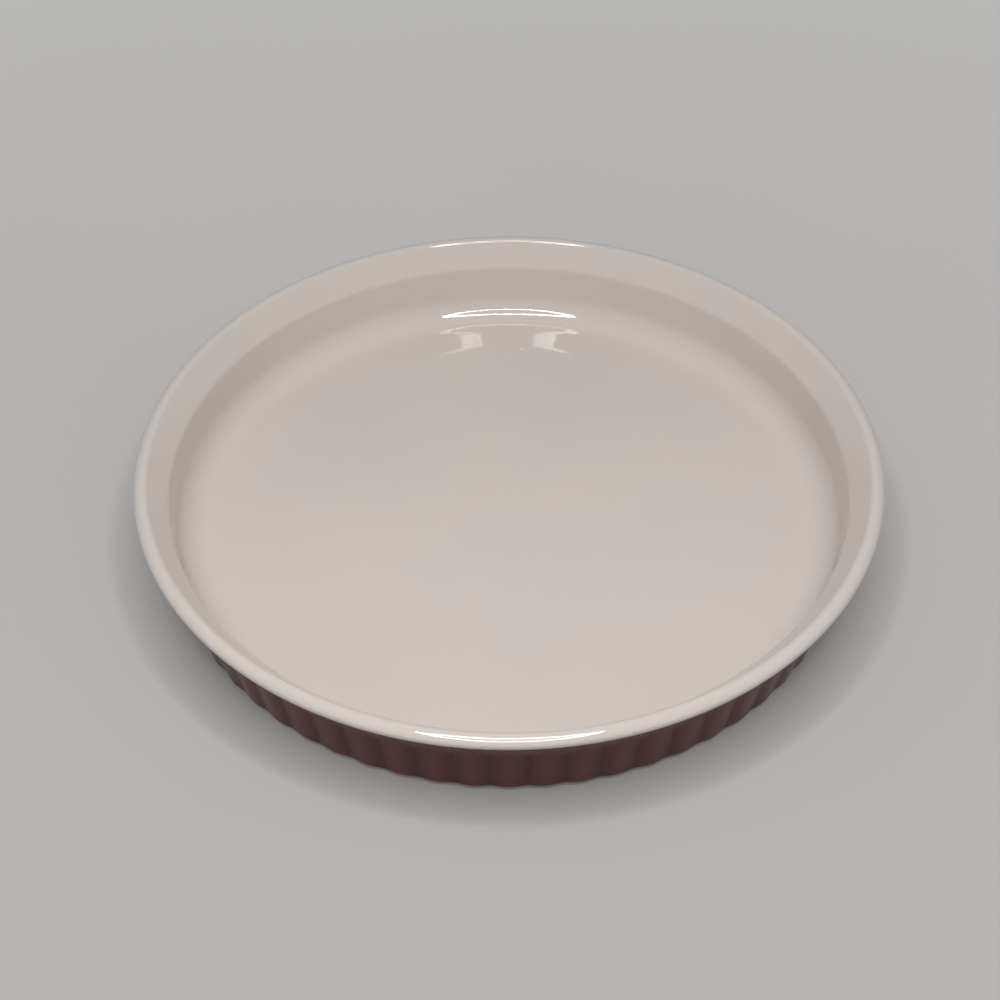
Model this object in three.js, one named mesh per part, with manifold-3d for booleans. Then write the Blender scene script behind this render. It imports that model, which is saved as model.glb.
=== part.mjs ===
// A round fluted baking dish: one fired stoneware body under three coats of glaze.
// Millimetres, +Z up. The origin lies on the table, under the middle of the dish, and -Y is the front.
import * as THREE from 'three';
import { mergeVertices } from 'three/addons/utils/BufferGeometryUtils.js';
import Module from 'manifold-3d';

// Driving dimensions, over the glaze
const RIM_DIAMETER = 254;
const DISH_HEIGHT = 37.5;
const RIM_THICKNESS = 5;
const FLARE_HEIGHT = 9.4;
const FLARE_REACH = 10.6;
const INSIDE_DRAFT = 6.5;
const COVE_RADIUS = 10.6;
const FLOOR_THICKNESS = 5;
const WALL_THICKNESS = 4.6;
const OUTSIDE_DRAFT = 8.8;
const HEEL_RADIUS = 2.5;
const FOOT_STEP = 1.2;
const FOOT_WIDTH = 6;
const FOOT_RECESS = 2.3;
const FOOT_BEVEL = 0.5;

// The pattern of rounded lobes round the outside
const FLUTE_COUNT = 66;
const FLUTE_DEPTH = 0.6;
const FLUTE_FADE = 4;

// The coats of glaze, and the clearance that keeps each one off the body
const GLAZE_THICKNESS = 0.5;
const GLAZE_CLEARANCE = 0.3;

// How deep the fluted ring is set into the wall that carries it
const RING_KEY = 0.5;

// Facets of the turned faces
const PLAIN_SIDES = 60;
const SIDES_PER_FLUTE = 4;
const COVE_STEPS = 4;

const BODY_INSET = GLAZE_THICKNESS + GLAZE_CLEARANCE;

// Plane geometry of the section: x is the radius, y the height
const UP = Math.PI / 2;
const point = (x, y) => new THREE.Vector2(x, y);
const heading = (angle) => point(Math.cos(angle), Math.sin(angle));
const along = (start, angle, distance) => start.clone().addScaledVector(heading(angle), distance);
const lineThrough = (start, angle) => ({ start, angle });

const shiftedLeft = (line, distance) => lineThrough(along(line.start, line.angle + UP, distance), line.angle);

function crossing(first, second) {
  const between = second.start.clone().sub(first.start);
  const turn = heading(first.angle).cross(heading(second.angle));
  return along(first.start, first.angle, between.cross(heading(second.angle)) / turn);
}

function arc(centre, radius, from, to, steps) {
  return Array.from({ length: steps + 1 }, (_, step) => (
    along(centre, from + ((to - from) * step) / steps, radius)
  ));
}

// Datum lines and centres of the section, all on the glazed surface
const insideDraft = THREE.MathUtils.degToRad(INSIDE_DRAFT);
const outsideDraft = THREE.MathUtils.degToRad(OUTSIDE_DRAFT);
const rimRadius = RIM_DIAMETER / 2;
const beadRadius = RIM_THICKNESS / 2;
const beadCentre = point(rimRadius - beadRadius, DISH_HEIGHT - beadRadius);
const crease = point(rimRadius - FLARE_REACH, DISH_HEIGHT - FLARE_HEIGHT);
const creaseToBead = beadCentre.clone().sub(crease);
const flareAngle = creaseToBead.angle() + Math.asin(beadRadius / creaseToBead.length());
const rimAngles = [flareAngle + UP, flareAngle / 2 + UP, UP, UP / 2, 0, flareAngle - UP];

const insideFloor = lineThrough(point(0, FOOT_RECESS + FLOOR_THICKNESS), 0);
const insideWall = lineThrough(crease, UP - insideDraft);
const insideFlare = lineThrough(crease, flareAngle);
const coveCentre = crossing(shiftedLeft(insideFloor, COVE_RADIUS), shiftedLeft(insideWall, COVE_RADIUS));

const outsideFlare = shiftedLeft(insideFlare, -RIM_THICKNESS);
const outsideWall = lineThrough(crease.clone().add(point(WALL_THICKNESS, 0)), UP - outsideDraft);
const outsideBase = lineThrough(point(0, FOOT_STEP), 0);
const heelCentre = crossing(shiftedLeft(outsideWall, HEEL_RADIUS), shiftedLeft(outsideBase, HEEL_RADIUS));
const footOuterRadius = heelCentre.x - FLUTE_DEPTH - GLAZE_CLEARANCE;
const footInnerRadius = footOuterRadius - FOOT_WIDTH;

// The inside of the section, from the axis out over the rim to its lower edge, sunk by an inset
function insideSection(inset) {
  const floorMiddle = shiftedLeft(insideFloor, -inset).start;
  const cove = arc(coveCentre, COVE_RADIUS + inset, -UP, -insideDraft, COVE_STEPS);
  const edge = crossing(shiftedLeft(insideWall, -inset), shiftedLeft(insideFlare, -inset));
  const rim = rimAngles.map((angle) => along(beadCentre, angle, beadRadius - inset));
  return [floorMiddle, ...cove, edge, ...rim];
}

// The outside of the section, from the heel up to the rim, as points with their share of the flutes
function outsideSection(inset) {
  const wall = shiftedLeft(outsideWall, inset);
  const [heelSide, heelBottom] = arc(heelCentre, HEEL_RADIUS - inset, -outsideDraft, -UP, 1);
  const shoulder = crossing(wall, shiftedLeft(outsideFlare, inset));
  const fluteTop = along(shoulder, wall.angle, -FLUTE_FADE);
  const rimSide = along(beadCentre, flareAngle - UP, beadRadius - inset);
  const rimEdge = along(rimSide, flareAngle, -GLAZE_CLEARANCE);
  return [
    { at: heelBottom, share: 1 },
    { at: heelSide, share: 1 },
    { at: fluteTop, share: 1 },
    { at: shoulder, share: 0 },
    { at: rimEdge, share: 0 },
  ];
}

// A profile turned about the axis, standing on +Z, with its first side at the front
function turned(profile, sides) {
  return new THREE.LatheGeometry(profile, sides).rotateX(UP);
}

// How deep the hollow between two lobes is at a side: 0 on a lobe's crest, 1 in the notch
function notchAt(side) {
  const across = 2 * (((side / SIDES_PER_FLUTE + 0.5) % 1) - 0.5);
  return across * across;
}

// A profile turned about the axis, then drawn in between the lobes by each point's share.
// Each four-sided patch is split along its fuller diagonal, so that a lobe's two flanks match.
function fluted(rows) {
  const sides = FLUTE_COUNT * SIDES_PER_FLUTE;
  const geometry = turned(rows.map((row) => row.at), sides);
  const position = geometry.getAttribute('position');
  const hollowAt = (side, row) => FLUTE_DEPTH * rows[row].share * notchAt(side);
  const corners = [];
  for (let side = 0; side <= sides; side += 1) {
    for (let row = 0; row < rows.length; row += 1) {
      const a = side * rows.length + row;
      const scale = 1 - hollowAt(side, row) / rows[row].at.x;
      position.setX(a, position.getX(a) * scale);
      position.setY(a, position.getY(a) * scale);
      if (side === sides || row === rows.length - 1) continue;
      const [b, c, d] = [a + rows.length, a + rows.length + 1, a + 1];
      const acrossAC = hollowAt(side, row) + hollowAt(side + 1, row + 1);
      const acrossBD = hollowAt(side + 1, row) + hollowAt(side, row + 1);
      corners.push(...(acrossAC < acrossBD ? [a, b, c, a, c, d] : [a, b, d, c, d, b]));
    }
  }
  geometry.setIndex(corners);
  return geometry;
}

const wasm = await Module();
wasm.setup();

function solidOf(geometry) {
  const bare = geometry.clone().deleteAttribute('normal').deleteAttribute('uv');
  const merged = mergeVertices(bare, 1e-3);
  const vertProperties = new Float32Array(merged.getAttribute('position').array);
  const corners = merged.getIndex().array;
  const triVerts = [];
  for (let first = 0; first < corners.length; first += 3) {
    const [a, b, c] = corners.slice(first, first + 3);
    if (a !== b && b !== c && c !== a) triVerts.push(a, b, c);
  }
  return new wasm.Manifold(new wasm.Mesh({ numProp: 3, vertProperties, triVerts: new Uint32Array(triVerts) }));
}

function geometryOf(solid) {
  const mesh = solid.getMesh();
  const geometry = new THREE.BufferGeometry();
  geometry.setAttribute('position', new THREE.BufferAttribute(new Float32Array(mesh.vertProperties), 3));
  geometry.setIndex(new THREE.BufferAttribute(new Uint32Array(mesh.triVerts), 1));
  geometry.computeVertexNormals();
  return geometry;
}

// The plain bowl: floor, cove, wall, flared rim and the bare foot ring
function bowlGeometry() {
  const wallInset = BODY_INSET + FLUTE_DEPTH + RING_KEY;
  const wall = shiftedLeft(outsideWall, wallInset);
  const underside = FOOT_RECESS + BODY_INSET;
  const base = shiftedLeft(outsideBase, BODY_INSET + RING_KEY);
  const shoulder = crossing(wall, shiftedLeft(outsideFlare, BODY_INSET));
  return turned([
    point(0, underside),
    point(footInnerRadius, underside),
    point(footInnerRadius, FOOT_BEVEL),
    point(footInnerRadius + FOOT_BEVEL, 0),
    point(footOuterRadius - FOOT_BEVEL, 0),
    point(footOuterRadius, FOOT_BEVEL),
    point(footOuterRadius, base.start.y),
    crossing(wall, base),
    shoulder,
    ...insideSection(BODY_INSET).reverse(),
  ], PLAIN_SIDES);
}

// The ring of lobes that stands on the bowl's wall and runs from the heel up under the flare
function ringGeometry() {
  const [heelBottom, heelSide, fluteTop] = outsideSection(BODY_INSET);
  const wall = shiftedLeft(outsideWall, BODY_INSET);
  const core = shiftedLeft(outsideWall, BODY_INSET + FLUTE_DEPTH + 2 * RING_KEY);
  const roof = shiftedLeft(outsideFlare, BODY_INSET + RING_KEY);
  const innerBottom = point(footOuterRadius - RING_KEY, heelBottom.at.y);
  return fluted([
    { at: innerBottom, share: 0 },
    heelBottom,
    heelSide,
    fluteTop,
    { at: crossing(wall, roof), share: 0 },
    { at: crossing(core, roof), share: 0 },
    { at: innerBottom, share: 0 },
  ]);
}

// A coat follows its surface out and comes back under it
function insideCoatGeometry() {
  const back = insideSection(GLAZE_THICKNESS);
  const face = insideSection(0).reverse();
  return turned([...back, ...face], PLAIN_SIDES);
}

function outsideCoatGeometry() {
  const face = outsideSection(0);
  const back = outsideSection(GLAZE_THICKNESS).reverse();
  return fluted([...face, ...back, face[0]]);
}

function undersideCoatGeometry() {
  const edge = footInnerRadius - GLAZE_CLEARANCE;
  const top = FOOT_RECESS + GLAZE_THICKNESS;
  return turned([
    point(0, FOOT_RECESS),
    point(edge, FOOT_RECESS),
    point(edge, top),
    point(0, top),
  ], PLAIN_SIDES);
}

const whiteGlaze = { color: 0xe6e0d8, roughness: 0.15, metalness: 0 };
const roseGlaze = { color: 0x7c5458, roughness: 0.2, metalness: 0 };
const bareStoneware = { color: 0xd8cdbd, roughness: 0.85, metalness: 0 };

function piece(name, geometry, finish) {
  const mesh = new THREE.Mesh(geometry, new THREE.MeshStandardMaterial(finish));
  mesh.name = name;
  return mesh;
}

const body = solidOf(bowlGeometry()).add(solidOf(ringGeometry()));

const bakingDish = new THREE.Group();
bakingDish.add(
  piece('stoneware_body', geometryOf(body), bareStoneware),
  piece('inside_glaze', insideCoatGeometry(), whiteGlaze),
  piece('outside_glaze', outsideCoatGeometry(), roseGlaze),
  piece('underside_glaze', undersideCoatGeometry(), roseGlaze),
);

export default bakingDish;
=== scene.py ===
"""A round fluted baking dish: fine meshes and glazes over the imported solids, with light and camera."""
import math

import bpy
from mathutils import Matrix, Vector


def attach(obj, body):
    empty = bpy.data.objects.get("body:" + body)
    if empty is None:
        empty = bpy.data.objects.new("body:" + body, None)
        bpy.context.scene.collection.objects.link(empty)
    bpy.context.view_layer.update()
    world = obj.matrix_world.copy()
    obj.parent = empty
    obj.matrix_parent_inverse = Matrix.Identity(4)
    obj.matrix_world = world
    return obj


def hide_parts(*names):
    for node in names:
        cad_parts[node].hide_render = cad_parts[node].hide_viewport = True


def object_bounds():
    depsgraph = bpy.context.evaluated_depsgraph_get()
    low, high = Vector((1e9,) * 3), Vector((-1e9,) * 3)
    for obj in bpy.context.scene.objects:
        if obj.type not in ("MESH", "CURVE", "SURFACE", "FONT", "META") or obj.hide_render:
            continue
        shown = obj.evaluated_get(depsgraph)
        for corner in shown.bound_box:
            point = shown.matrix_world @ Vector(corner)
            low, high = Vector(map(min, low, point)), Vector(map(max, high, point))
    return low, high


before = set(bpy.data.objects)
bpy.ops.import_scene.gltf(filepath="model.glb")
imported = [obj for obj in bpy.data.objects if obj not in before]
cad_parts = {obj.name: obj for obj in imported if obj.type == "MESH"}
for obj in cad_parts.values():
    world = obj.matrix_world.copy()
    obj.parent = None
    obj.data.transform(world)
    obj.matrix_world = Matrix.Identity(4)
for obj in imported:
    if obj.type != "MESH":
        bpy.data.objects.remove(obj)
cad_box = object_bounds()

MM = 0.001
QUARTER = math.pi / 2
ON_AXIS = 1e-9

# Sizes of the section, over the glaze, as the solids have them
RIM_RADIUS = cad_box[1][0]
DISH_HEIGHT = cad_box[1][2]
FLARE_HEIGHT = 9.4 * MM
FLARE_REACH = 10.6 * MM
INSIDE_DRAFT = math.radians(6.5)
COVE_RADIUS = 10.6 * MM
FLOOR_THICKNESS = 5 * MM
WALL_THICKNESS = 4.6 * MM
OUTSIDE_DRAFT = math.radians(8.8)
HEEL_RADIUS = 2.5 * MM
FOOT_STEP = 1.2 * MM
FOOT_GAP = 0.3 * MM
FOOT_WIDTH = 6 * MM
FOOT_RECESS = 2.3 * MM
FLUTE_COUNT = 66
FLUTE_DEPTH = 0.6 * MM
FLUTE_FADE = 4 * MM

# What the fine meshes add to the section
GLAZE_THICKNESS = 0.45 * MM
WALL_BOW = 0.02 * MM
RIM_INNER_ROUND = 2.3 * MM
RIM_TOP_ROUND = 3.6 * MM
RIM_OUTER_ROUND = 1.75 * MM
RIM_TOP_ANGLES = (math.radians(85), math.radians(45))
CREASE_ROUND = 4 * MM
SHOULDER_ROUND = 5 * MM
WHITE_EDGE = math.radians(-20)
THIN_WIDTH = 0.4 * MM
FOOT_ROUND = 1 * MM
NOTCH_SOFTNESS = 0.6

# How finely the pieces are turned
PLAIN_SIDES = 320
SIDES_PER_FLUTE = 12
BODY_SIDES_PER_FLUTE = 6
SHARP_ANGLE = math.radians(50)

# Steps along the section: the inside, then the outside, then the foot and the underside
FLOOR_STEPS = 8
COVE_STEPS = 12
WALL_STEPS = 4
CREASE_STEPS = 3
FLARE_STEPS = 4
RIM_STEPS = 14
HEEL_STEPS = 8
FLUTED_STEPS = 14
SHOULDER_STEPS = 6
UNDER_FLARE_STEPS = 3
UNDER_RIM_STEPS = 6
FOOT_ROUND_STEPS = 5
UNDERSIDE_STEPS = 8

# Each noise below is its waves per metre and its detail, and the flow's also its roughness and its
# scale along each axis. Each span is the part of a noise over which one look turns into another.
SOFT_SPAN = (0.3, 0.7)

# White glaze
WHITE_COLOURS = ((0.66, 0.61, 0.568), (0.645, 0.597, 0.562))
WHITE_CLOUD_NOISE = (14, 2)
WHITE_CLOUD_SPAN = (0.35, 0.65)
WHITE_SPECK_COLOUR = (0.4, 0.33, 0.27)
WHITE_SPECK_SHARE = 0.15
WHITE_SPECK_NOISE = (520, 1)
WHITE_SPECK_SPAN = (0.76, 0.8)
WHITE_ROUGHNESS = (0.008, 0.02)
WHITE_GLOSS_NOISE = (70, 3)
WHITE_WAVE_HEIGHT = 0.045 * MM
WHITE_WAVE_NOISE = (50, 0)
WHITE_IOR = 1.65

# Rose glaze, which is paler on the crests of the lobes and pooled in the notches
# The rose colours below are partly the glaze's own dark rose and partly painted shade: they are set darker
# than that colour to stand in for the shade the wall lies in under the rim.
ROSE_COLOURS = ((0.145, 0.052, 0.051), (0.132, 0.046, 0.045))
ROSE_FLOW_NOISE = (90, 4, 0.6, (1, 1, 0.2))
ROSE_CREST_COLOUR = (0.16, 0.059, 0.058)
ROSE_CREST_SPAN = (0.0, 0.5)
ROSE_POOL_COLOUR = (0.105, 0.037, 0.037)
ROSE_POOL_SPAN = (0.5, 1.0)
ROSE_SPECK_COLOUR = (0.08, 0.035, 0.035)
ROSE_SPECK_SHARE = 0.25
ROSE_SPECK_NOISE = (700, 1)
ROSE_SPECK_SPAN = (0.7, 0.75)
ROSE_ROUGHNESS = (0.15, 0.25)
ROSE_GLOSS_NOISE = (120, 3)
ROSE_WAVE_HEIGHT = 0.04 * MM
ROSE_WAVE_NOISE = (160, 3)
ROSE_IOR = 1.2

# The line where the two glazes meet, and how much of the clay shows through each of them there
THIN_NOISE = (330, 2)
THIN_LEAST_SHARE = 0.2
WHITE_THIN_COLOUR = (0.4, 0.26, 0.19)
WHITE_THIN_SHARE = 0.6
ROSE_THIN_COLOUR = (0.24, 0.12, 0.09)
ROSE_THIN_SHARE = 0.7

# Bare stoneware
CLAY_COLOURS = ((0.62, 0.54, 0.44), (0.54, 0.46, 0.36))
CLAY_CLOUD_NOISE = (60, 3)
CLAY_GRAIN_COLOUR = (0.3, 0.24, 0.18)
CLAY_GRAIN_SHARE = 0.5
CLAY_GRAIN_NOISE = (1600, 2)
CLAY_GRAIN_SPAN = (0.6, 0.7)
CLAY_ROUGHNESS = (0.75, 0.95)
CLAY_GLOSS_NOISE = (300, 2)
CLAY_BUMP_HEIGHT = 0.12 * MM
CLAY_BUMP_NOISE = (1400, 4)

# The photograph's camera: its distance and elevation from the middle of the rim, and its aim
PHOTO_PIXELS = 1000
FOCAL_PIXELS = 1500
CAMERA_DISTANCE = 4.045 * RIM_RADIUS
CAMERA_ELEVATION = math.radians(41.74)
CAMERA_PITCH = math.radians(43.9)
CAMERA_YAW = math.radians(-0.45)
CAMERA_ROLL = math.radians(-0.4)

# The lamp: a flat ring over the front of the dish, which the gloss mirrors as thin double lines
LAMP_PLACE = Vector((0, -1.83 * RIM_RADIUS, DISH_HEIGHT + 4.31 * RIM_RADIUS))
LAMP_RADIUS = 143 * MM
LAMP_WIDTH = 32 * MM
LAMP_SIDES = 96
LAMP_COLOUR = (1, 0.975, 0.955, 1)
LAMP_STRENGTH = 32

# The soft light from the front and from the back, and what the camera sees behind the floor
FRONT_FILL = 0.34
BACK_FILL = 0.15
BACKDROP_LEVEL = 0.45

# The floor. To the camera and to a gloss it looks lifted by a glow, which is faint under the lamp
# and grows up to the dim radius, further out than which the floor gets little of the lamp's light.
FLOOR_RADIUS = 4
FLOOR_SIDES = 96
FLOOR_COLOURS = ((0.43, 0.427, 0.42), (0.415, 0.412, 0.405))
FLOOR_CLOUD_NOISE = (3, 2)
FLOOR_ROUGHNESS = 0.8
FLOOR_SPECULAR = 0.2
FLOOR_GLOW = (1, 0.99, 0.975, 1)
LIT_LIFT = 0.06
DIM_LIFT = 0.34
DIM_RADIUS = 0.85


# Plane geometry of the section: x is the radius, y the height, and a line is a start and an angle

def heading(angle):
    return Vector((math.cos(angle), math.sin(angle)))


def along(start, angle, distance):
    return start + distance * heading(angle)


def shifted_left(line, distance):
    start, angle = line
    return along(start, angle + QUARTER, distance), angle


def crossing(first, second):
    """The point where two lines meet."""
    (start, angle), (other_start, other_angle) = first, second
    gap = other_start - start
    way, other_way = heading(angle), heading(other_angle)
    travel = (gap.x * other_way.y - gap.y * other_way.x) / (way.x * other_way.y - way.y * other_way.x)
    return along(start, angle, travel)


def arc(centre, radius, start, end, steps):
    return [along(centre, start + (end - start) * step / steps, radius) for step in range(steps + 1)]


def stretch(start, end, steps, bow=0):
    """Points on the way from start to end, without either end, bowed out to the right in the middle."""
    way = end - start
    right = Vector((way.y, -way.x)).normalized()
    shares = [step / steps for step in range(1, steps)]
    return [start + share * way + 4 * share * (1 - share) * bow * right for share in shares]


def closing_in(start, end, steps):
    """Points on the straight way from start to end, without either end, each halving what is left."""
    return [end.lerp(start, 0.5 ** step) for step in range(1, steps)]


def rounded(first, second, radius, steps):
    """The arc that rounds the bend from the first line into the second."""
    turn = second[1] - first[1]
    side = math.copysign(radius, turn)
    centre = crossing(shifted_left(first, side), shifted_left(second, side))
    back = math.copysign(QUARTER, -turn)
    return arc(centre, radius, first[1] + back, second[1] + back, steps)


# Datum lines and centres of the section, all on the glazed surface
INNER_TO_TOP = (RIM_INNER_ROUND - RIM_TOP_ROUND) * heading(RIM_TOP_ANGLES[0])
TOP_TO_OUTER = (RIM_TOP_ROUND - RIM_OUTER_ROUND) * heading(RIM_TOP_ANGLES[1])
RIM_INNER_CENTRE = Vector((
    RIM_RADIUS - RIM_OUTER_ROUND - INNER_TO_TOP.x - TOP_TO_OUTER.x,
    DISH_HEIGHT - RIM_INNER_ROUND,
))
RIM_TOP_CENTRE = RIM_INNER_CENTRE + INNER_TO_TOP
RIM_OUTER_CENTRE = RIM_TOP_CENTRE + TOP_TO_OUTER
CREASE = Vector((RIM_RADIUS - FLARE_REACH, DISH_HEIGHT - FLARE_HEIGHT))
CREASE_TO_RIM = RIM_INNER_CENTRE - CREASE
FLARE_ANGLE = (
    math.atan2(CREASE_TO_RIM.y, CREASE_TO_RIM.x) + math.asin(RIM_INNER_ROUND / CREASE_TO_RIM.length)
)
INSIDE_FLOOR = (Vector((0, FOOT_RECESS + FLOOR_THICKNESS)), 0)
INSIDE_WALL = (CREASE, QUARTER - INSIDE_DRAFT)
INSIDE_FLARE = (CREASE, FLARE_ANGLE)
COVE_CENTRE = crossing(shifted_left(INSIDE_FLOOR, COVE_RADIUS), shifted_left(INSIDE_WALL, COVE_RADIUS))
OUTSIDE_FLARE = (along(RIM_OUTER_CENTRE, FLARE_ANGLE - QUARTER, RIM_OUTER_ROUND), FLARE_ANGLE)
OUTSIDE_WALL = (CREASE + Vector((WALL_THICKNESS, 0)), QUARTER - OUTSIDE_DRAFT)
OUTSIDE_BASE = (Vector((0, FOOT_STEP)), 0)
HEEL_CENTRE = crossing(shifted_left(OUTSIDE_WALL, HEEL_RADIUS), shifted_left(OUTSIDE_BASE, HEEL_RADIUS))
SHOULDER_HEIGHT = crossing(OUTSIDE_WALL, OUTSIDE_FLARE).y
WHITE_END = along(RIM_OUTER_CENTRE, WHITE_EDGE, RIM_OUTER_ROUND)
FOOT_OUTER = HEEL_CENTRE.x - FLUTE_DEPTH - FOOT_GAP
FOOT_INNER = FOOT_OUTER - FOOT_WIDTH


def rim_section(inset, start, end, steps):
    """Points round the rim, which is rounder at its two sides than on top."""
    points = []
    for step in range(steps + 1):
        angle = start + (end - start) * step / steps
        if angle > RIM_TOP_ANGLES[0]:
            points.append(along(RIM_INNER_CENTRE, angle, RIM_INNER_ROUND - inset))
        elif angle > RIM_TOP_ANGLES[1]:
            points.append(along(RIM_TOP_CENTRE, angle, RIM_TOP_ROUND - inset))
        else:
            points.append(along(RIM_OUTER_CENTRE, angle, RIM_OUTER_ROUND - inset))
    return points


def inside_section(inset, fine=1):
    """From the axis out over the floor, the cove, the wall and the rim to the edge of the white."""
    middle = shifted_left(INSIDE_FLOOR, -inset)[0]
    cove = arc(COVE_CENTRE, COVE_RADIUS + inset, -QUARTER, -INSIDE_DRAFT, COVE_STEPS * fine)
    wall = shifted_left(INSIDE_WALL, -inset)
    flare = shifted_left(INSIDE_FLARE, -inset)
    crease = rounded(wall, flare, CREASE_ROUND - inset, CREASE_STEPS * fine)
    rim = rim_section(inset, FLARE_ANGLE + QUARTER, WHITE_EDGE, RIM_STEPS * fine)
    return [
        middle,
        *closing_in(middle, cove[0], FLOOR_STEPS),
        *cove,
        *stretch(cove[-1], crease[0], WALL_STEPS * fine, WALL_BOW),
        *crease,
        *stretch(crease[-1], rim[0], FLARE_STEPS * fine),
        *rim,
    ]


def outside_section(inset):
    """From the foot ring out round the heel, up the fluted wall and under the rim to the white."""
    wall = shifted_left(OUTSIDE_WALL, inset)
    flare = shifted_left(OUTSIDE_FLARE, inset)
    strip = Vector((FOOT_OUTER, FOOT_STEP + inset))
    heel = arc(HEEL_CENTRE, HEEL_RADIUS - inset, -QUARTER, -OUTSIDE_DRAFT, HEEL_STEPS)
    shoulder = rounded(wall, flare, SHOULDER_ROUND + inset, SHOULDER_STEPS)
    rim = rim_section(inset, FLARE_ANGLE - QUARTER, WHITE_EDGE, UNDER_RIM_STEPS)
    return [
        strip,
        *heel,
        *stretch(heel[-1], shoulder[0], FLUTED_STEPS),
        *shoulder,
        *stretch(shoulder[-1], rim[0], UNDER_FLARE_STEPS),
        *rim,
    ]


def smooth_step(low, high, value):
    share = min(max((value - low) / (high - low), 0), 1)
    return share * share * (3 - 2 * share)


def flute_share(place):
    """How much of the flutes' depth a point of the outside takes: none under the rim or at the foot."""
    top = 1 - smooth_step(SHOULDER_HEIGHT - FLUTE_FADE, SHOULDER_HEIGHT, place.y)
    foot = smooth_step(FOOT_OUTER, HEEL_CENTRE.x, place.x)
    return top * foot


def notch_at(share_of_turn):
    """0 on a lobe's crest and 1 in the notch between two lobes, with the notch a little rounded."""
    across = 2 * ((share_of_turn * FLUTE_COUNT + 0.5) % 1 - 0.5)
    sharp = across * across
    soft = math.sin(QUARTER * across) ** 2
    return (1 - NOTCH_SOFTNESS) * sharp + NOTCH_SOFTNESS * soft


def turned(name, rows, sides, closed):
    """Rows of (point, share of the flutes) turned about the axis from the front, as a closed mesh.

    A closed profile meets itself, and any other profile starts and ends on the axis.
    Each vertex keeps how deep in a notch it lies, as the attribute hollow, and how near it lies to
    the line where the two glazes meet and run thin, as the attribute thin.
    """
    vertices, faces, hollows, thins, rings = [], [], [], [], []
    for place, share in rows:
        thin = math.exp(-((place - WHITE_END).length / THIN_WIDTH) ** 2)
        if place.x < ON_AXIS:
            rings.append([len(vertices)] * sides)
            vertices.append((0, 0, place.y))
            hollows.append(0)
            thins.append(thin)
            continue
        rings.append([len(vertices) + side for side in range(sides)])
        for side in range(sides):
            turn = side / sides
            hollow = share * notch_at(turn)
            radius = place.x - FLUTE_DEPTH * hollow
            angle = 2 * math.pi * turn
            vertices.append((radius * math.sin(angle), -radius * math.cos(angle), place.y))
            hollows.append(hollow)
            thins.append(thin)
    pairs = list(zip(rings, rings[1:]))
    if closed:
        pairs.append((rings[-1], rings[0]))
    for low, high in pairs:
        for side in range(sides):
            after = (side + 1) % sides
            corners = [low[side], low[after], high[after], high[side]]
            faces.append(list(dict.fromkeys(corners)))
    mesh = bpy.data.meshes.new(name)
    mesh.from_pydata(vertices, [], faces)
    mesh.shade_smooth()
    mesh.set_sharp_from_angle(angle=SHARP_ANGLE)
    for key, values in (("hollow", hollows), ("thin", thins)):
        mesh.attributes.new(key, "FLOAT", "POINT").data.foreach_set("value", values)
    mesh.update()
    piece = bpy.data.objects.new(name, mesh)
    bpy.context.scene.collection.objects.link(piece)
    return piece


def plain(points):
    return [(place, 0) for place in points]


def with_flutes(points):
    return [(place, flute_share(place)) for place in points]


# The pieces

def make_body():
    """The fired clay under the coats, with the bare foot ring that the dish stands on."""
    inset = GLAZE_THICKNESS
    underside = FOOT_RECESS + inset
    inner_round = Vector((FOOT_INNER + FOOT_ROUND, FOOT_ROUND))
    outer_round = Vector((FOOT_OUTER - FOOT_ROUND, FOOT_ROUND))
    foot = [
        Vector((0, underside)),
        Vector((FOOT_INNER, underside)),
        *arc(inner_round, FOOT_ROUND, 2 * QUARTER, 3 * QUARTER, FOOT_ROUND_STEPS),
        *arc(outer_round, FOOT_ROUND, -QUARTER, 0, FOOT_ROUND_STEPS),
    ]
    inside = inside_section(inset)[:-1]
    rows = plain(foot) + with_flutes(outside_section(inset)) + plain(reversed(inside))
    return turned("body_fine", rows, FLUTE_COUNT * BODY_SIDES_PER_FLUTE, closed=False)


def make_inside_coat():
    back = inside_section(GLAZE_THICKNESS)
    face = inside_section(0, fine=2)
    return turned("inside_glaze_fine", plain(back + face[::-1]), PLAIN_SIDES, closed=False)


def make_outside_coat():
    face = outside_section(0)
    back = outside_section(GLAZE_THICKNESS)
    rows = with_flutes(face) + with_flutes(back[::-1])
    return turned("outside_glaze_fine", rows, FLUTE_COUNT * SIDES_PER_FLUTE, closed=True)


def make_underside_coat():
    top = FOOT_RECESS + GLAZE_THICKNESS
    middle = Vector((0, FOOT_RECESS))
    edge = Vector((FOOT_INNER, FOOT_RECESS))
    face = [middle, *stretch(middle, edge, UNDERSIDE_STEPS), edge]
    back = [Vector((FOOT_INNER, top)), Vector((0, top))]
    return turned("underside_glaze_fine", plain(face + back), PLAIN_SIDES, closed=False)


# Materials

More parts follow.
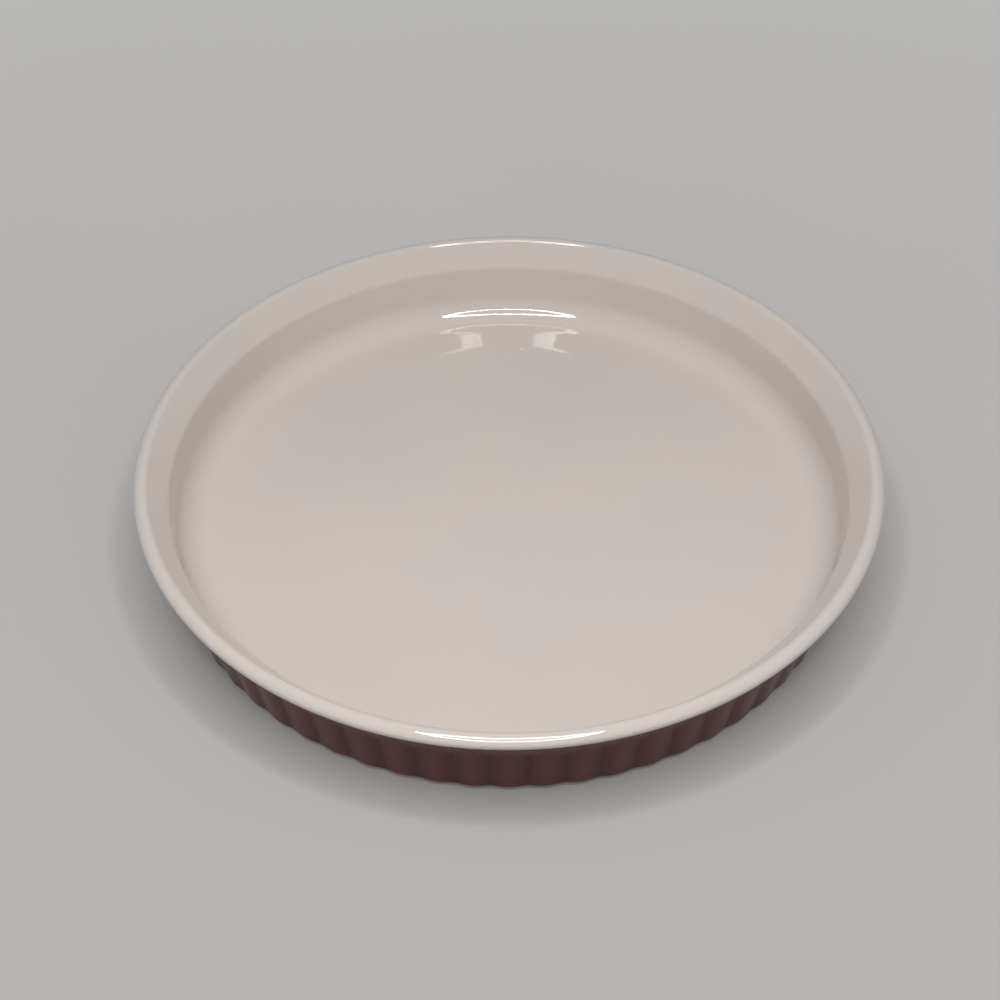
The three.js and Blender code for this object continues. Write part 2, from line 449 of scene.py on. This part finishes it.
class Nodes:
    """A material's node tree with short calls to add and join nodes."""

    def __init__(self, name):
        self.material = bpy.data.materials.new(name)
        self.material.use_nodes = True
        self.tree = self.material.node_tree
        self.shader = self.tree.nodes["Principled BSDF"]
        self.place = self.add("ShaderNodeTexCoord").outputs["Object"]

    def add(self, kind, **settings):
        node = self.tree.nodes.new(kind)
        for key, value in settings.items():
            setattr(node, key, value)
        return node

    def join(self, source, target):
        self.tree.links.new(source, target)

    def feed(self, key, source):
        """Join a source to one of the shader's sockets."""
        self.join(source, self.shader.inputs[key])

    def noise(self, scale, detail, roughness=0.5, squeeze=None):
        node = self.add("ShaderNodeTexNoise")
        node.inputs["Scale"].default_value = scale
        node.inputs["Detail"].default_value = detail
        node.inputs["Roughness"].default_value = roughness
        place = self.place
        if squeeze:
            mapping = self.add("ShaderNodeMapping")
            mapping.inputs["Scale"].default_value = squeeze
            self.join(place, mapping.inputs["Vector"])
            place = mapping.outputs["Vector"]
        self.join(place, node.inputs["Vector"])
        return node.outputs["Fac"]

    def ramp(self, source, span, values=(0, 1)):
        """A smooth way from the first value to the second over a span of the source."""
        node = self.add("ShaderNodeMapRange", interpolation_type="SMOOTHSTEP")
        keys = ("From Min", "From Max", "To Min", "To Max")
        for key, value in zip(keys, (*span, *values)):
            node.inputs[key].default_value = value
        self.join(source, node.inputs["Value"])
        return node.outputs["Result"]

    def mix(self, share, first, second):
        node = self.add("ShaderNodeMix", data_type="RGBA")
        sockets = [s for s in node.inputs if s.enabled]
        for socket, value in zip(sockets, (share, first, second)):
            if isinstance(value, tuple):
                socket.default_value = (*value, 1)
            else:
                self.join(value, socket)
        return next(s for s in node.outputs if s.enabled)

    def times(self, first, second):
        node = self.add("ShaderNodeMath", operation="MULTIPLY")
        self.join(first, node.inputs[0])
        if isinstance(second, float):
            node.inputs[1].default_value = second
        else:
            self.join(second, node.inputs[1])
        return node.outputs[0]

    def bump(self, height, distance):
        node = self.add("ShaderNodeBump")
        node.inputs["Strength"].default_value = 1
        node.inputs["Distance"].default_value = distance
        self.join(height, node.inputs["Height"])
        return node.outputs["Normal"]

    def kept(self, key):
        """What the mesh keeps at each vertex under that name."""
        return self.add("ShaderNodeAttribute", attribute_name=key).outputs["Fac"]

    def thinned(self, colour, clay, share):
        """The colour with the clay showing through, unevenly, where the glaze runs thin."""
        uneven = self.ramp(self.noise(*THIN_NOISE), SOFT_SPAN, (THIN_LEAST_SHARE, share))
        return self.mix(self.times(self.kept("thin"), uneven), colour, clay)


def white_glaze():
    nodes = Nodes("white_gloss_glaze")
    clouds = nodes.ramp(nodes.noise(*WHITE_CLOUD_NOISE), WHITE_CLOUD_SPAN)
    base = nodes.mix(clouds, *WHITE_COLOURS)
    specks = nodes.ramp(nodes.noise(*WHITE_SPECK_NOISE), WHITE_SPECK_SPAN)
    specked = nodes.mix(nodes.times(specks, WHITE_SPECK_SHARE), base, WHITE_SPECK_COLOUR)
    nodes.feed("Base Color", nodes.thinned(specked, WHITE_THIN_COLOUR, WHITE_THIN_SHARE))
    nodes.feed("Roughness", nodes.ramp(nodes.noise(*WHITE_GLOSS_NOISE), SOFT_SPAN, WHITE_ROUGHNESS))
    nodes.feed("Normal", nodes.bump(nodes.noise(*WHITE_WAVE_NOISE), WHITE_WAVE_HEIGHT))
    nodes.shader.inputs["IOR"].default_value = WHITE_IOR
    return nodes.material


def rose_glaze():
    nodes = Nodes("rose_gloss_glaze")
    hollow = nodes.kept("hollow")
    flow = nodes.ramp(nodes.noise(*ROSE_FLOW_NOISE), SOFT_SPAN)
    base = nodes.mix(flow, *ROSE_COLOURS)
    crest = nodes.mix(nodes.ramp(hollow, ROSE_CREST_SPAN), ROSE_CREST_COLOUR, base)
    pooled = nodes.mix(nodes.ramp(hollow, ROSE_POOL_SPAN), crest, ROSE_POOL_COLOUR)
    specks = nodes.ramp(nodes.noise(*ROSE_SPECK_NOISE), ROSE_SPECK_SPAN)
    specked = nodes.mix(nodes.times(specks, ROSE_SPECK_SHARE), pooled, ROSE_SPECK_COLOUR)
    nodes.feed("Base Color", nodes.thinned(specked, ROSE_THIN_COLOUR, ROSE_THIN_SHARE))
    nodes.feed("Roughness", nodes.ramp(nodes.noise(*ROSE_GLOSS_NOISE), SOFT_SPAN, ROSE_ROUGHNESS))
    nodes.feed("Normal", nodes.bump(nodes.noise(*ROSE_WAVE_NOISE), ROSE_WAVE_HEIGHT))
    nodes.shader.inputs["IOR"].default_value = ROSE_IOR
    return nodes.material


def bare_stoneware():
    nodes = Nodes("bare_stoneware")
    clouds = nodes.ramp(nodes.noise(*CLAY_CLOUD_NOISE), SOFT_SPAN)
    base = nodes.mix(clouds, *CLAY_COLOURS)
    grains = nodes.ramp(nodes.noise(*CLAY_GRAIN_NOISE), CLAY_GRAIN_SPAN)
    nodes.feed("Base Color", nodes.mix(nodes.times(grains, CLAY_GRAIN_SHARE), base, CLAY_GRAIN_COLOUR))
    nodes.feed("Roughness", nodes.ramp(nodes.noise(*CLAY_GLOSS_NOISE), SOFT_SPAN, CLAY_ROUGHNESS))
    nodes.feed("Normal", nodes.bump(nodes.noise(*CLAY_BUMP_NOISE), CLAY_BUMP_HEIGHT))
    return nodes.material


def floor_material():
    nodes = Nodes("pale_floor")
    clouds = nodes.ramp(nodes.noise(*FLOOR_CLOUD_NOISE), SOFT_SPAN)
    nodes.feed("Base Color", nodes.mix(clouds, *FLOOR_COLOURS))
    nodes.shader.inputs["Roughness"].default_value = FLOOR_ROUGHNESS
    nodes.shader.inputs["Specular IOR Level"].default_value = FLOOR_SPECULAR
    nodes.shader.inputs["Emission Color"].default_value = FLOOR_GLOW
    from_lamp = nodes.add("ShaderNodeVectorMath", operation="DISTANCE")
    from_lamp.inputs[1].default_value = (LAMP_PLACE.x, LAMP_PLACE.y, 0)
    nodes.join(nodes.place, from_lamp.inputs[0])
    lift = nodes.ramp(from_lamp.outputs["Value"], (0, DIM_RADIUS), (LIT_LIFT, DIM_LIFT))
    nodes.feed("Emission Strength", nodes.times(seen_directly(nodes.tree), lift))
    return nodes.material


def seen_directly(tree):
    """1 for rays from the camera, off a gloss or through glass, and 0 for the rays that carry light."""
    path = tree.nodes.new("ShaderNodeLightPath")
    seen = path.outputs["Is Camera Ray"]
    for kind in ("Is Glossy Ray", "Is Transmission Ray"):
        either = tree.nodes.new("ShaderNodeMath")
        either.operation = "MAXIMUM"
        tree.links.new(seen, either.inputs[0])
        tree.links.new(path.outputs[kind], either.inputs[1])
        seen = either.outputs[0]
    return seen


# Light, floor and camera

def make_floor():
    bpy.ops.mesh.primitive_circle_add(vertices=FLOOR_SIDES, radius=FLOOR_RADIUS, fill_type="NGON")
    floor = bpy.context.object
    floor.name = "studio_floor"
    floor.data.materials.append(floor_material())


def make_lamp():
    """A flat glowing ring, which the camera itself doesn't see."""
    vertices, faces = [], []
    for radius in (LAMP_RADIUS - LAMP_WIDTH / 2, LAMP_RADIUS + LAMP_WIDTH / 2):
        for side in range(LAMP_SIDES):
            angle = 2 * math.pi * side / LAMP_SIDES
            vertices.append(LAMP_PLACE + radius * Vector((math.cos(angle), math.sin(angle), 0)))
    for side in range(LAMP_SIDES):
        after = (side + 1) % LAMP_SIDES
        faces.append((side, after, LAMP_SIDES + after, LAMP_SIDES + side))
    mesh = bpy.data.meshes.new("ring_lamp")
    mesh.from_pydata(vertices, [], faces)
    lamp = bpy.data.objects.new("ring_lamp", mesh)
    bpy.context.scene.collection.objects.link(lamp)
    material = bpy.data.materials.new("lamp_glow")
    material.use_nodes = True
    tree = material.node_tree
    tree.nodes.clear()
    glow = tree.nodes.new("ShaderNodeEmission")
    glow.inputs["Strength"].default_value = LAMP_STRENGTH
    glow.inputs["Color"].default_value = LAMP_COLOUR
    output = tree.nodes.new("ShaderNodeOutputMaterial")
    tree.links.new(glow.outputs["Emission"], output.inputs["Surface"])
    mesh.materials.append(material)
    lamp.visible_camera = False
    lamp.visible_shadow = False


def make_world():
    """Soft light from all round, most of it from the front, which the camera sees as a pale backdrop."""
    world = bpy.data.worlds.new("studio")
    bpy.context.scene.world = world
    world.use_nodes = True
    tree = world.node_tree
    background = tree.nodes["Background"]
    background.inputs["Color"].default_value = (1, 1, 1, 1)
    direction = tree.nodes.new("ShaderNodeSeparateXYZ")
    tree.links.new(tree.nodes.new("ShaderNodeTexCoord").outputs["Generated"], direction.inputs["Vector"])
    fill = tree.nodes.new("ShaderNodeMapRange")
    for key, value in (("From Min", -1), ("To Min", FRONT_FILL), ("To Max", BACK_FILL)):
        fill.inputs[key].default_value = value
    tree.links.new(direction.outputs["Y"], fill.inputs["Value"])
    level = tree.nodes.new("ShaderNodeMapRange")
    level.inputs["To Max"].default_value = BACKDROP_LEVEL
    tree.links.new(fill.outputs["Result"], level.inputs["To Min"])
    tree.links.new(seen_directly(tree), level.inputs["Value"])
    tree.links.new(level.outputs["Result"], background.inputs["Strength"])


def make_camera():
    data = bpy.data.cameras.new("photo_camera")
    data.sensor_fit = "HORIZONTAL"
    data.lens = data.sensor_width * FOCAL_PIXELS / PHOTO_PIXELS
    camera = bpy.data.objects.new("photo_camera", data)
    bpy.context.scene.collection.objects.link(camera)
    rim_middle = Vector((0, 0, DISH_HEIGHT))
    away = Vector((0, -math.cos(CAMERA_ELEVATION), math.sin(CAMERA_ELEVATION)))
    aim = Matrix.Rotation(-CAMERA_YAW, 4, "Z") @ Matrix.Rotation(QUARTER - CAMERA_PITCH, 4, "X")
    camera.matrix_world = (
        Matrix.Translation(rim_middle + CAMERA_DISTANCE * away) @ aim @ Matrix.Rotation(CAMERA_ROLL, 4, "Z")
    )
    bpy.context.scene.camera = camera


def dress(piece, node, material):
    piece.data.materials.append(material)
    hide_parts(node)
    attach(piece, "root")


make_camera()
make_floor()
make_lamp()
make_world()

rose = rose_glaze()
dress(make_body(), "stoneware_body", bare_stoneware())
dress(make_inside_coat(), "inside_glaze", white_glaze())
dress(make_outside_coat(), "outside_glaze", rose)
dress(make_underside_coat(), "underside_glaze", rose)

bpy.context.scene.view_settings.view_transform = "Standard"
